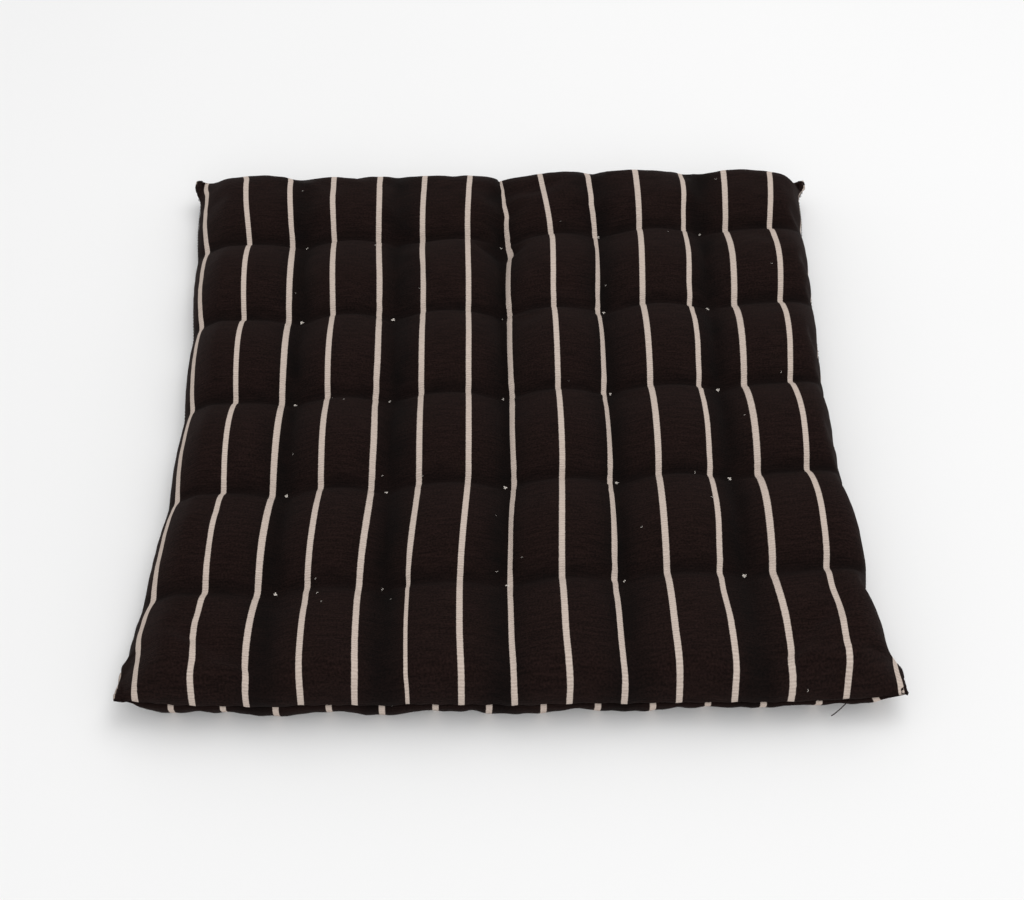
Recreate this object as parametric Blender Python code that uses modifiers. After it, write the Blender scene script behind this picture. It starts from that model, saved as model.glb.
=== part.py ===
"""A thin square seat pad for a dining chair.

Two panels of striped cloth are sewn together round the edge, with the seam allowances turned inside. They hold a
felted core sheet between two layers of wadding, and 25 thread ties, each knotted on both faces, pull the panels
together and quilt the pad into puffed squares.

The origin is on the floor under the middle of the pad. +X is to the right, +Y to the back and +Z up.
"""

import math

import bmesh
import bpy
from mathutils import Matrix

# Driving dimensions, in metres.
PAD_SIDE = 0.400  # from corner to corner
PAD_HEIGHT = 0.042  # from the floor to the crest of a puffed square
SEAM_HEIGHT = 0.015  # the level at which the two panels meet
SIDE_PULL = 0.012  # how far the filling draws the left and right sides in between the corners
END_PULL = 0.002  # the same for the front and back edges
EDGE_ROUNDING = 0.022  # width of the rounded band along the edge
CLOTH = 0.0008  # thickness of the woven cloth
SEAM_LIP = 0.002  # height of the upright fold of each panel at the seam
SEAM_ALLOWANCE = 0.010  # width of cloth turned inside the seam
CLEARANCE = 0.0003  # gap kept between touching pieces

TUFT_COLUMNS = (-0.127, -0.068, -0.002, 0.060, 0.128)  # marked by hand, so not quite evenly
TUFT_ROWS = (-0.134, -0.0665, 0.001, 0.0685, 0.136)
ROW_TILT = 0.045  # how far the rows slope to the back, per metre to the right
PUFF_REACH = 0.032  # how far beyond the outermost tufts the pad is back to its full height
TUFT_TOP = 0.021  # height of the top panel at a tuft
TUFT_UNDER = 0.006  # height of the bottom panel at a tuft
VALLEY_TOP = 0.029  # height of the top panel in a valley, halfway between two tufts
VALLEY_UNDER = 0.002  # height of the bottom panel there

TIE_RADIUS = 0.0005
TIE_HOLE_RADIUS = 0.0009
KNOT_RADIUS = 0.0014
KNOT_HEIGHT = 0.0018  # a knot widens away from the cloth, because it sits in a funnel-shaped dimple
TIE_SIDES = 6
TIE_HOLE_TURN = math.radians(12)  # keeps the corners of a hole off the lines of the grid

SEAM_THREAD_RADIUS = 0.00025
SEAM_THREAD_INSET = 0.0015  # from the edge of the pad to the line of stitches
SEAM_SLIT = 2 * SEAM_THREAD_RADIUS + 2 * CLEARANCE  # between the two turned-in allowances
THREAD_STEP = 0.045  # spacing of the points along a seam thread
CLOSING_LENGTH = 0.160  # of the hand-sewn stretch, in the middle of the right side

WADDING_CLEARANCE = 0.0026  # below the top panel and above the bottom one, measured upright
WADDING_INSET = 0.010  # from the edge of the pad to the edge of the wadding
CORE_HALF_HEIGHT = SEAM_SLIT / 2 + CLOTH  # the core is as thick as the two allowances and the slit
CORE_SIDE = PAD_SIDE - 2 * (SEAM_ALLOWANCE + SIDE_PULL + 0.002)

# Where the lines of each grid lie in one square, as shares of its width. The outer squares have
# more lines near the edge, at these shares of the rounded band.
INNER_LINES = (0.0, 0.3, 0.7)
EDGE_LINES = (0.35, 1.0)
SLOPE_LINE = 0.45  # between the outermost tufts and the rounded band
FLAT_SHARE = 0.3  # how puffed a spot is where the underside begins to lie on the floor

HALF = PAD_SIDE / 2
TOP_FLOOR = SEAM_HEIGHT + SEAM_SLIT / 2
UNDER_CEILING = SEAM_HEIGHT - SEAM_SLIT / 2

DARK_CLOTH = (0.016, 0.0085, 0.0065)
WADDING_COLOUR = (0.78, 0.74, 0.66)
CORE_COLOUR = (0.55, 0.52, 0.47)
TIE_COLOUR = (0.70, 0.62, 0.55)
SEAM_THREAD_COLOUR = (0.03, 0.018, 0.014)


def clear_scene():
    for obj in list(bpy.data.objects):
        bpy.data.objects.remove(obj, do_unlink=True)


def collection_named(name):
    collection = bpy.data.collections.new(name)
    bpy.context.scene.collection.children.link(collection)
    return collection


def make_material(name, colour, roughness):
    material = bpy.data.materials.new(name)
    material.use_nodes = True
    shader = material.node_tree.nodes["Principled BSDF"]
    shader.inputs["Base Color"].default_value = (*colour, 1.0)
    shader.inputs["Roughness"].default_value = roughness
    shader.inputs["Metallic"].default_value = 0.0
    return material


def grid_lines(tufts, inset):
    """The places of the grid's lines along one axis, from edge to edge, with the outermost ones inset."""
    lines = []
    for start, end in zip(tufts[:-1], tufts[1:]):
        lines += [start + share * (end - start) for share in INNER_LINES]
    lines.append(tufts[-1])
    for sign, tuft in ((-1, tufts[0]), (1, tufts[-1])):
        band = [sign * (HALF - share * EDGE_ROUNDING) for share in EDGE_LINES]
        lines += [sign * (HALF - inset)] + [place for place in band if abs(place) < HALF - inset - CLEARANCE]
        lines.append(tuft + SLOPE_LINE * (band[-1] - tuft))
    return sorted(lines)


def ridge(place, tufts):
    """0 on a line of tufts, 1 in the middle of a square and all the way from there to the pad's edge."""
    if place <= tufts[0] or place >= tufts[-1]:
        beyond = max(tufts[0] - place, place - tufts[-1])
        return math.sin(math.pi / 2 * min(1.0, beyond / PUFF_REACH))
    start = max(tuft for tuft in tufts if tuft <= place)
    end = min(tuft for tuft in tufts if tuft > place)
    return math.sin(math.pi * (place - start) / (end - start))


def edge_rise(place):
    """0 at the pad's edge, rising as a quarter ellipse to 1 at the inner side of the rounded band."""
    share = min(1.0, (HALF - abs(place)) / EDGE_ROUNDING)
    return math.sqrt(1 - (1 - share) ** 2)


def top_height(x, y):
    across = ridge(x, TUFT_COLUMNS)
    along = ridge(y, TUFT_ROWS)
    valley = TUFT_TOP + (VALLEY_TOP - TUFT_TOP) * max(across, along)
    full = valley + (PAD_HEIGHT - VALLEY_TOP) * (across * along) ** 0.6
    lip = TOP_FLOOR + SEAM_LIP
    return lip + (full - lip) * edge_rise(x) * edge_rise(y)


def under_height(x, y):
    across = ridge(x, TUFT_COLUMNS)
    along = ridge(y, TUFT_ROWS)
    valley = TUFT_UNDER + (VALLEY_UNDER - TUFT_UNDER) * max(across, along)
    full = valley * (1 - min(1.0, across * along / FLAT_SHARE))
    lip = UNDER_CEILING - SEAM_LIP
    return lip + (full - lip) * edge_rise(x) * edge_rise(y)


def plan_point(x, y):
    """Where a point of the straight grid lies: the edges are drawn in between the corners, the rows tilted."""
    across = x / HALF
    along = y / HALF
    drawn_x = x - SIDE_PULL * across * abs(across) ** 3 * (1 - along**4)
    drawn_y = y - END_PULL * along * abs(along) ** 3 * (1 - across**4)
    return drawn_x, drawn_y + ROW_TILT * x * (1 - along**6)


def grid_surface(height, inset):
    """An open surface over the pad's plan, whose height is given by a function."""
    columns = grid_lines(TUFT_COLUMNS, inset)
    rows = grid_lines(TUFT_ROWS, inset)
    surface = bmesh.new()
    segments = (len(columns) - 1, len(rows) - 1)
    bmesh.ops.create_grid(surface, x_segments=segments[0], y_segments=segments[1], size=1.0)
    for vertex in surface.verts:
        x = columns[round((vertex.co.x + 1) / 2 * segments[0])]
        y = rows[round((vertex.co.y + 1) / 2 * segments[1])]
        vertex.co = (*plan_point(x, y), height(x, y))
    bmesh.ops.triangulate(surface, faces=surface.faces, quad_method="SHORT_EDGE")
    return surface


def extrude_border(surface, move):
    """Extends the open border, moving each new point by a function of its place."""
    border = [edge for edge in surface.edges if edge.is_boundary]
    made = bmesh.ops.extrude_edge_only(surface, edges=border)["geom"]
    for vertex in made:
        if isinstance(vertex, bmesh.types.BMVert):
            vertex.co = move(vertex.co)


def object_from(surface, name, material, collection):
    bmesh.ops.recalc_face_normals(surface, faces=surface.faces)
    mesh = bpy.data.meshes.new(name)
    surface.to_mesh(mesh)
    surface.free()
    mesh.materials.append(material)
    mesh.shade_smooth()
    obj = bpy.data.objects.new(name, mesh)
    collection.objects.link(obj)
    return obj


def cut_with(obj, cutter):
    cut = obj.modifiers.new("tie holes", "BOOLEAN")
    cut.operation = "DIFFERENCE"
    cut.solver = "EXACT"
    cut.object = cutter


def make_cover(name, height, seam_level, material, collection, holes):
    """One cloth panel: the outer surface, an upright fold at the seam and the allowance turned inside."""
    surface = grid_surface(height, 0.0)
    inner = 1 - SEAM_ALLOWANCE / HALF
    extrude_border(surface, lambda co: (co.x, co.y, seam_level))
    extrude_border(surface, lambda co: (co.x * inner, co.y * inner, seam_level))
    cover = object_from(surface, name, material, collection)
    cloth = cover.modifiers.new("cloth", "SOLIDIFY")
    cloth.thickness = CLOTH
    cloth.offset = -1.0
    cloth.use_even_offset = True
    cut_with(cover, holes)
    return cover


def make_wadding(name, height, level, material, collection, holes):
    """One layer of wadding, with a flat side against the core and a puffed side against its cloth panel."""
    surface = grid_surface(height, WADDING_INSET)
    extrude_border(surface, lambda co: (co.x, co.y, level))
    border = [edge for edge in surface.edges if edge.is_boundary]
    bmesh.ops.edgeloop_fill(surface, edges=border)
    layer = object_from(surface, name, material, collection)
    cut_with(layer, holes)
    return layer


def make_core(material, collection, holes):
    surface = bmesh.new()
    bmesh.ops.create_cube(surface, size=1.0)
    for vertex in surface.verts:
        x = vertex.co.x * CORE_SIDE
        y = vertex.co.y * CORE_SIDE
        vertex.co = (x, y, SEAM_HEIGHT + vertex.co.z * 2 * CORE_HALF_HEIGHT)
    core = object_from(surface, "wadding_core", material, collection)
    cut_with(core, holes)
    return core


def make_tie_holes(collection):
    """One cutter with a prism through the pad at each tuft."""
    prisms = bmesh.new()
    for row in TUFT_ROWS:
        for column in TUFT_COLUMNS:
            middle = (*plan_point(column, row), PAD_HEIGHT / 2)
            bmesh.ops.create_cone(
                prisms,
                cap_ends=True,
                segments=TIE_SIDES,
                radius1=TIE_HOLE_RADIUS,
                radius2=TIE_HOLE_RADIUS,
                depth=2 * PAD_HEIGHT,
                matrix=Matrix.Translation(middle) @ Matrix.Rotation(TIE_HOLE_TURN, 4, "Z"),
            )
    mesh = bpy.data.meshes.new("tie_holes")
    prisms.to_mesh(mesh)
    prisms.free()
    cutter = bpy.data.objects.new("tie_holes", mesh)
    cutter.hide_render = True
    cutter.display_type = "WIRE"
    collection.objects.link(cutter)
    return cutter


def tie_profile():
    """Half the outline of a tie, from the crown of its upper knot down to the crown of its lower one."""
    upper = TUFT_TOP + CLEARANCE
    lower = TUFT_UNDER - CLEARANCE
    widest = KNOT_HEIGHT * 0.65
    return (
        (0.0, upper + KNOT_HEIGHT),
        (KNOT_RADIUS, upper + widest),
        (TIE_RADIUS, upper),
        (TIE_RADIUS, lower),
        (KNOT_RADIUS, lower - widest),
        (0.0, lower - KNOT_HEIGHT),
    )


def make_ties(material, collection):
    """A turned thread with a knot at each end, in every tuft. They share one mesh."""
    profile = tie_profile()
    points = [(radius, 0.0, height) for radius, height in profile]
    edges = [(index, index + 1) for index in range(len(points) - 1)]
    mesh = bpy.data.meshes.new("tuft_tie")
    mesh.from_pydata(points, edges, [])
    mesh.materials.append(material)
    for row_number, row in enumerate(reversed(TUFT_ROWS), start=1):
        for column_number, column in enumerate(TUFT_COLUMNS, start=1):
            tie = bpy.data.objects.new(f"tuft_tie_r{row_number}c{column_number}", mesh)
            tie.location = (*plan_point(column, row), 0.0)
            turned = tie.modifiers.new("turned", "SCREW")
            turned.axis = "Z"
            turned.steps = TIE_SIDES
            turned.render_steps = TIE_SIDES
            turned.use_merge_vertices = True
            turned.merge_threshold = 0.00001
            turned.use_smooth_shade = True
            collection.objects.link(tie)


def seam_route(start, end):
    """Points along the line of stitches, between two distances measured from the right side's middle."""
    side = 2 * (HALF - SEAM_THREAD_INSET)
    count = max(2, round((end - start) / THREAD_STEP))
    corners = [side / 2 + turn * side for turn in range(4)]
    places = {start + (end - start) * index / count for index in range(count + 1)}
    places |= {corner for corner in corners if start < corner < end}
    points = []
    for place in sorted(places):
        turn = math.floor((place + side / 2) / side)
        along = place - turn * side
        angle = turn * math.pi / 2
        x = side / 2 * math.cos(angle) - along * math.sin(angle)
        y = side / 2 * math.sin(angle) + along * math.cos(angle)
        points.append((*plan_point(x, y), SEAM_HEIGHT))
    return points


def make_seam_thread(name, start, end, material, collection):
    """A thread lying in the slit of the seam."""
    points = seam_route(start, end)
    curve = bpy.data.curves.new(name, "CURVE")
    curve.dimensions = "3D"
    spline = curve.splines.new("POLY")
    spline.points.add(len(points) - 1)
    for point, place in zip(spline.points, points):
        point.co = (*place, 1.0)
    curve.bevel_depth = SEAM_THREAD_RADIUS
    curve.bevel_resolution = 2
    curve.use_fill_caps = True
    curve.materials.append(material)
    collection.objects.link(bpy.data.objects.new(name, curve))


def main():
    clear_scene()
    pad = collection_named("chair_seat_pad")
    cutters = collection_named("cutters")
    holes = make_tie_holes(cutters)

    make_cover("top_cover", top_height, TOP_FLOOR, make_material("top_cloth", DARK_CLOTH, 0.9), pad, holes)
    make_cover(
        "bottom_cover", under_height, UNDER_CEILING, make_material("bottom_cloth", DARK_CLOTH, 0.9), pad, holes
    )

    core_top = SEAM_HEIGHT + CORE_HALF_HEIGHT
    core_bottom = SEAM_HEIGHT - CORE_HALF_HEIGHT
    make_wadding(
        "wadding_upper",
        lambda x, y: top_height(x, y) - WADDING_CLEARANCE,
        core_top + CLEARANCE,
        make_material("upper_wadding", WADDING_COLOUR, 0.95),
        pad,
        holes,
    )
    make_core(make_material("core_felt", CORE_COLOUR, 0.95), pad, holes)
    make_wadding(
        "wadding_lower",
        lambda x, y: under_height(x, y) + WADDING_CLEARANCE,
        core_bottom - CLEARANCE,
        make_material("lower_wadding", WADDING_COLOUR, 0.95),
        pad,
        holes,
    )

    make_ties(make_material("tie_thread", TIE_COLOUR, 0.8), pad)

    seam_material = make_material("seam_thread", SEAM_THREAD_COLOUR, 0.8)
    round_the_pad = 4 * 2 * (HALF - SEAM_THREAD_INSET)
    gap = 2 * CLEARANCE
    start = CLOSING_LENGTH / 2
    make_seam_thread("perimeter_seam_thread", start + gap, round_the_pad - start - gap, seam_material, pad)
    make_seam_thread(
        "closing_seam_thread", -start, start, make_material("closing_thread", SEAM_THREAD_COLOUR, 0.8), pad
    )


main()
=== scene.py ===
# %% [markdown]
# # A tufted, striped seat pad
# The pad is a flat bag of two striped cotton panels, filled with two layers of wadding and a felt core.
# Twenty-five short ties pull the panels together, so the stuffing stands up in puffs between them. The bare
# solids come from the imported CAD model, which is loaded as a fixed frame. Everything below is built around
# that frame, in metres, and takes its places from it.

# %% Load the frame
import math

import bpy
import numpy as np
from mathutils import Matrix, Vector, noise


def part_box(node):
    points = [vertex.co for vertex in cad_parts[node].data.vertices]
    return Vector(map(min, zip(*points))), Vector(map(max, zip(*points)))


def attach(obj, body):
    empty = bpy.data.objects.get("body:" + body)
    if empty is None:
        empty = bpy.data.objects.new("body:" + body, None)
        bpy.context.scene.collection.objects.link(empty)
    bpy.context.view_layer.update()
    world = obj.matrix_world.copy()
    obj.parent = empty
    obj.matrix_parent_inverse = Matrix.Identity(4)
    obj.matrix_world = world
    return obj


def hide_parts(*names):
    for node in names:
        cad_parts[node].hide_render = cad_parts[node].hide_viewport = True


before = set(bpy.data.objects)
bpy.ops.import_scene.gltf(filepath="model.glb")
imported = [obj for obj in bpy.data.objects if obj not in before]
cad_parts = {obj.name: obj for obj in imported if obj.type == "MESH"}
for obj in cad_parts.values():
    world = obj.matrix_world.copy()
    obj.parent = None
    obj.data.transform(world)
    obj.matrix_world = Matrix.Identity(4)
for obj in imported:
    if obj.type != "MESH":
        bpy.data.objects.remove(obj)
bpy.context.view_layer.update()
MM = 0.001

# %% [markdown]
# ## Measuring the frame
# A tufted pad is ruled by its ties: their rows and columns say where the cloth is pinched. The rows on this
# pad were marked by hand and run a little askew, so their slope is measured too and taken off before a row
# gets its place.

# %% Tuft places and pad size
tie_names = sorted(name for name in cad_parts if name.startswith("tuft_tie_"))
TUFT_ROWS = 5
tie_boxes = np.array([[list(corner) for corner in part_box(name)] for name in tie_names])
ties = tie_boxes.mean(axis=1).reshape(TUFT_ROWS, -1, 3)[::-1]
half_side = float(np.array(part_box("top_cover"))[:, :2].max())


def skew_fade(along):
    return 1 - (along / half_side) ** 6


tuft_columns = ties[:, :, 0].mean(axis=0)
row_lean = (ties[:, :, 1] - ties[:, :, 1].mean(axis=1, keepdims=True)) / skew_fade(ties[:, :, 1])
row_slope = float(np.polyfit(ties[:, :, 0].ravel(), row_lean.ravel(), 1)[0])
tuft_rows = (ties[:, :, 1] - row_slope * ties[:, :, 0] * skew_fade(ties[:, :, 1])).mean(axis=1)
print("columns", tuft_columns.round(4), "rows", tuft_rows.round(4), "slope", round(row_slope, 4))

# %% [markdown]
# ## Floor, light and camera
# A dark, matt cloth shows its shape only through soft light, so the pad lies on a wide pale floor under a
# bright, even sky. One softbox above and behind draws the crests, and one in front keeps the near slopes
# readable.

# %% Studio helpers
scene = bpy.context.scene
scene.view_settings.view_transform = "Standard"


def link_object(name, data):
    made = bpy.data.objects.new(name, data)
    scene.collection.objects.link(made)
    return made


def plain_mesh(name, points, edges=(), faces=()):
    mesh = bpy.data.meshes.new(name)
    mesh.from_pydata(np.asarray(points).tolist(), edges, faces)
    return mesh


def mesh_object(name, points, faces):
    mesh = plain_mesh(name, points, faces=np.asarray(faces).tolist())
    mesh.update()
    return link_object(name, mesh)


def softbox(name, place, size, watts):
    light = bpy.data.lights.new(name, "AREA")
    light.size = size
    light.energy = watts
    lamp = link_object(name, light)
    lamp.location = place
    lamp.rotation_euler = (-Vector(place)).to_track_quat("-Z", "Y").to_euler()


# %% Studio
FLOOR_HALF = 20.0
CAMERA_PLACE = (-0.0224, -0.6697, 0.7529)
CAMERA_TURN, CAMERA_TILT, CAMERA_ROLL = -2.226, 40.833, 1.4965
floor_corners = [(x * FLOOR_HALF, y * FLOOR_HALF, 0) for x, y in ((-1, -1), (1, -1), (1, 1), (-1, 1))]
floor = mesh_object("floor", floor_corners, [(0, 1, 2, 3)])
softbox("softbox_above", (0.45, 0.55, 1.6), 1.4, 9.5)
softbox("softbox_front", (0.2, -1.6, 1.3), 1.2, 8)
world = bpy.data.worlds.new("sky")
world.use_nodes = True
sky = world.node_tree.nodes["Background"].inputs
sky["Color"].default_value = (1.0, 1.0, 1.0, 1.0)
sky["Strength"].default_value = 0.75
scene.world = world

lens = bpy.data.cameras.new("camera")
lens.lens = 60
lens.sensor_width = 36
camera = link_object("camera", lens)
camera.location = CAMERA_PLACE
turn, tilt, roll = (Matrix.Rotation(math.radians(angle), 4, axis)
                    for angle, axis in ((CAMERA_TURN, "Z"), (CAMERA_TILT, "X"), (CAMERA_ROLL, "Z")))
camera.rotation_euler = (turn @ tilt @ roll).to_euler()
scene.camera = camera

# %% [markdown]
# ## Building node trees
# Shader groups, materials and Geometry Nodes are all trees of nodes with named sockets. A few helpers keep
# them short: they add a node and fill its sockets, do a sum, or start a group with sockets of its own.

# %% Node helpers
def add(tree, kind, inputs=None, **settings):
    made = tree.nodes.new(kind)
    for key, value in settings.items():
        setattr(made, key, value)
    for key, value in (inputs or {}).items():
        if isinstance(value, bpy.types.NodeSocket):
            tree.links.new(value, made.inputs[key])
        else:
            made.inputs[key].default_value = value
    return made


def maths(tree, operation, *values):
    return add(tree, "ShaderNodeMath", dict(enumerate(values)), operation=operation).outputs[0]


def mixed(tree, factor, low, high):
    """The colour low where factor is 0, and high where it is 1."""
    return add(tree, "ShaderNodeMix", {"Factor": factor, 6: low, 7: high}, data_type="RGBA").outputs[2]


def noise_field(tree, vector, scale, detail=2.0):
    sockets = {"Vector": vector, "Scale": scale, "Detail": detail}
    return add(tree, "ShaderNodeTexNoise", sockets).outputs["Fac"]


def stretched(tree, vector, scale):
    return add(tree, "ShaderNodeVectorMath", {0: vector, 1: scale}, operation="MULTIPLY").outputs["Vector"]


def start_group(name, kind, inputs, outputs):
    """An empty group with named sockets, and its inner input and output nodes."""
    tree = bpy.data.node_groups.new(name, kind)
    for label, socket, value in inputs:
        made = tree.interface.new_socket(name=label, in_out="INPUT", socket_type="NodeSocket" + socket)
        if value is not None:
            made.default_value = value
    for label, socket in outputs:
        tree.interface.new_socket(name=label, in_out="OUTPUT", socket_type="NodeSocket" + socket)
    return tree, tree.nodes.new("NodeGroupInput").outputs, tree.nodes.new("NodeGroupOutput").inputs


# %% [markdown]
# ## The weave
# The cloth is a ribbed cotton: thick weft yarns run across the pad under thin warp yarns, which leaves fine
# ribs from side to side. The pattern could be an image, but a formula on the cloth's own UV map stays sharp
# at any distance and follows the cloth into every fold. The UV map is in metres on the flat panel, so
# pitches are real.

# %% Weave group
def weave_group():
    tree, given, result = start_group(
        "Ribbed weave", "ShaderNodeTree",
        [("Cloth", "Vector", None), ("Rib Pitch", "Float", 0.0012), ("Warp Pitch", "Float", 0.0007)],
        [("Height", "Float"), ("Slub", "Float"), ("Mottle", "Float")])
    cloth = given["Cloth"]
    parts = add(tree, "ShaderNodeSeparateXYZ", {0: cloth}).outputs
    drift = maths(tree, "MULTIPLY", noise_field(tree, cloth, 45.0), 0.9)
    waves = []
    for axis, pitch in (("Y", "Rib Pitch"), ("X", "Warp Pitch")):
        count = maths(tree, "ADD", maths(tree, "DIVIDE", parts[axis], given[pitch]), drift)
        waves.append(maths(tree, "SINE", maths(tree, "MULTIPLY", count, 2 * math.pi)))
    rough = noise_field(tree, stretched(tree, cloth, (300.0, 1400.0, 1.0)), 1.0)
    woven = maths(tree, "MULTIPLY_ADD", waves[0], 0.13, maths(tree, "MULTIPLY", waves[1], 0.10))
    tree.links.new(maths(tree, "MULTIPLY_ADD", rough, 0.8, maths(tree, "ADD", woven, 0.1)), result["Height"])
    slub = noise_field(tree, stretched(tree, cloth, (90.0, 700.0, 1.0)), 1.0, 3.0)
    fine = noise_field(tree, stretched(tree, cloth, (900.0, 1200.0, 1.0)), 1.0, 1.0)
    uneven = maths(tree, "MULTIPLY_ADD", slub, 1.4, maths(tree, "MULTIPLY_ADD", fine, 2.0, -1.3))
    tree.links.new(add(tree, "ShaderNodeClamp", {"Value": uneven}).outputs["Result"], result["Slub"])
    tree.links.new(noise_field(tree, cloth, 38.0, 4.0), result["Mottle"])
    return tree


weave = weave_group()

# %% [markdown]
# ## The stripes
# A stripe is a band of undyed warp yarns. It runs straight down the flat panel, so on the UV map it is a
# test of the distance to the nearest stripe. Its edge wanders by a fraction of a yarn, which keeps it from
# looking printed.

# %% Stripe group
def stripe_group():
    tree, given, result = start_group(
        "Warp stripe", "ShaderNodeTree",
        [("Cloth", "Vector", None), ("Pitch", "Float", 0.03), ("Width", "Float", 0.004),
         ("First", "Float", 0.0), ("Fray", "Float", 0.0004)],
        [("Mask", "Float")])
    across = add(tree, "ShaderNodeSeparateXYZ", {0: given["Cloth"]}).outputs["X"]
    pitch = given["Pitch"]
    count = maths(tree, "DIVIDE", maths(tree, "SUBTRACT", across, given["First"]), pitch)
    nearest = maths(tree, "SUBTRACT", count, maths(tree, "ROUND", count))
    distance = maths(tree, "MULTIPLY", maths(tree, "ABSOLUTE", nearest), pitch)
    fray = noise_field(tree, stretched(tree, given["Cloth"], (500.0, 900.0, 1.0)), 1.0)
    wander = maths(tree, "MULTIPLY", maths(tree, "SUBTRACT", fray, 0.5), given["Fray"])
    edge = maths(tree, "SUBTRACT", maths(tree, "MULTIPLY_ADD", given["Width"], 0.5, wander), distance)
    mask = add(tree, "ShaderNodeMapRange", {"Value": edge, "From Min": -0.00015, "From Max": 0.00015})
    tree.links.new(mask.outputs["Result"], result["Mask"])
    return tree


stripe = stripe_group()

# %% [markdown]
# ## Painted valley shade
# This is painted shade: the cloth in the column valleys and row creases is darkened, where shade falls,
# while the crests of the puffs keep the woven colour. The tufts sit at a nearly even pitch on the flat
# cloth, so a cosine in each direction, raised to a power, marks the valleys. Reach is how many pitches from
# the middle there are tufts.

# %% Painted valley shade group
def painted_valley_shade_group():
    tree, given, result = start_group(
        "Valley shade", "ShaderNodeTree",
        [("Cloth", "Vector", None), ("Column Pitch", "Float", 0.06), ("Middle Column", "Float", 0.0),
         ("Row Pitch", "Float", 0.06), ("Middle Row", "Float", 0.0), ("Reach", "Float", 2.5)],
        [("Mask", "Float")])
    parts = add(tree, "ShaderNodeSeparateXYZ", {0: given["Cloth"]}).outputs
    valleys = []
    for axis, label, sharpness in (("X", "Column", 7.0), ("Y", "Row", 24.0)):
        count = maths(tree, "DIVIDE", maths(tree, "SUBTRACT", parts[axis], given["Middle " + label]),
                      given[label + " Pitch"])
        wave = maths(tree, "ABSOLUTE", maths(tree, "COSINE", maths(tree, "MULTIPLY", count, math.pi)))
        tufted = maths(tree, "LESS_THAN", maths(tree, "ABSOLUTE", count), given["Reach"])
        valleys.append(maths(tree, "MULTIPLY", maths(tree, "POWER", wave, sharpness), tufted))
    # Painted shade: the row creases get 0.7 of the darkening in the column valleys, broken up by noise.
    soft_row = maths(tree, "MULTIPLY", valleys[1], 0.7)
    patchy = noise_field(tree, given["Cloth"], 55.0, 2.0)
    both = maths(tree, "MAXIMUM", valleys[0], soft_row)
    tree.links.new(maths(tree, "MULTIPLY", both, maths(tree, "ADD", patchy, 0.1)), result["Mask"])
    return tree


painted_valley_shade = painted_valley_shade_group()
column_pitch = float(np.polyfit(range(len(tuft_columns)), tuft_columns, 1)[0])
row_pitch = float(np.polyfit(range(len(tuft_rows)), tuft_rows, 1)[0])

# %% [markdown]
# ## Cloth materials
# Both panels are cut from one bolt, so they share one recipe: a nearly black brown ground, pale stripes,
# ribs as bump, painted shade in the tuft valleys and weave grooves, and no gloss to speak of.
# Only the place of the first stripe differs, because each panel was cut on its own.
# The fuzz of raw cotton is a little sheen, set on the shader itself.

# %% Cloth
STRIPE_PITCH = 27.5 * MM
STRIPE_WIDTH = 3.15 * MM
FIRST_STRIPE = 11 * MM
UNDER_SHIFT = 0.62
WOVEN_DARK = (0.0040, 0.0020, 0.0017, 1)
WOVEN_LIGHT = (0.0078, 0.0038, 0.0032, 1)
RUBBED = (0.0165, 0.0082, 0.0070, 1)
# Painted shade colour for the cloth in the tuft valleys and row creases.
PAINTED_VALLEY_SHADE = (0.0022, 0.0019, 0.0018, 1)
# Pale stripe yarns, with a darker painted shade for the low parts of the weave.
STRIPE_GROOVE_SHADE = (0.36, 0.29, 0.25, 1)
STRIPE_LIGHT = (0.66, 0.56, 0.49, 1)


def plain_shader(name, roughness, specular=0.2):
    material = bpy.data.materials.new(name)
    material.use_nodes = True
    shader = material.node_tree.nodes["Principled BSDF"]
    shader.inputs["Roughness"].default_value = roughness
    shader.inputs["Specular IOR Level"].default_value = specular
    return material, material.node_tree, shader


def roughen(tree, shader, height, strength, depth):
    """Bump on a shader from a height of 0 to 1."""
    bump = add(tree, "ShaderNodeBump", {"Height": height, "Strength": strength, "Distance": depth})
    tree.links.new(bump.outputs["Normal"], shader.inputs["Normal"])


def cloth_material(name, first):
    material, tree, shader = plain_shader(name, 0.9, 0.05)
    cloth = add(tree, "ShaderNodeUVMap", uv_map="cut").outputs["UV"]
    woven = add(tree, "ShaderNodeGroup", {"Cloth": cloth}, node_tree=weave).outputs
    bands = {"Cloth": cloth, "Pitch": STRIPE_PITCH, "Width": STRIPE_WIDTH, "First": first}
    banded = add(tree, "ShaderNodeGroup", bands, node_tree=stripe).outputs["Mask"]
    places = {"Cloth": cloth, "Column Pitch": column_pitch, "Middle Column": float(tuft_columns.mean()),
              "Row Pitch": row_pitch, "Middle Row": float(tuft_rows.mean())}
    # Painted shade: the valley mask darkens the ground in the tuft valleys and row creases.
    dark = add(tree, "ShaderNodeGroup", places, node_tree=painted_valley_shade).outputs["Mask"]
    mottled = mixed(tree, woven["Mottle"], WOVEN_DARK, WOVEN_LIGHT)
    ground = mixed(tree, dark, mixed(tree, woven["Slub"], mottled, RUBBED), PAINTED_VALLEY_SHADE)
    # Painted shade: the stripes are darker where the weave's bump height is low, in the grooves of ribs and
    # yarns.
    pale = mixed(tree, woven["Height"], STRIPE_GROOVE_SHADE, STRIPE_LIGHT)
    tree.links.new(mixed(tree, banded, ground, pale), shader.inputs["Base Color"])
    roughen(tree, shader, woven["Height"], 0.7, 0.35 * MM)
    shader.inputs["Sheen Weight"].default_value = 0.014
    shader.inputs["Sheen Roughness"].default_value = 0.5
    shader.inputs["Sheen Tint"].default_value = (1.0, 0.82, 0.78, 1.0)
    return material


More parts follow.
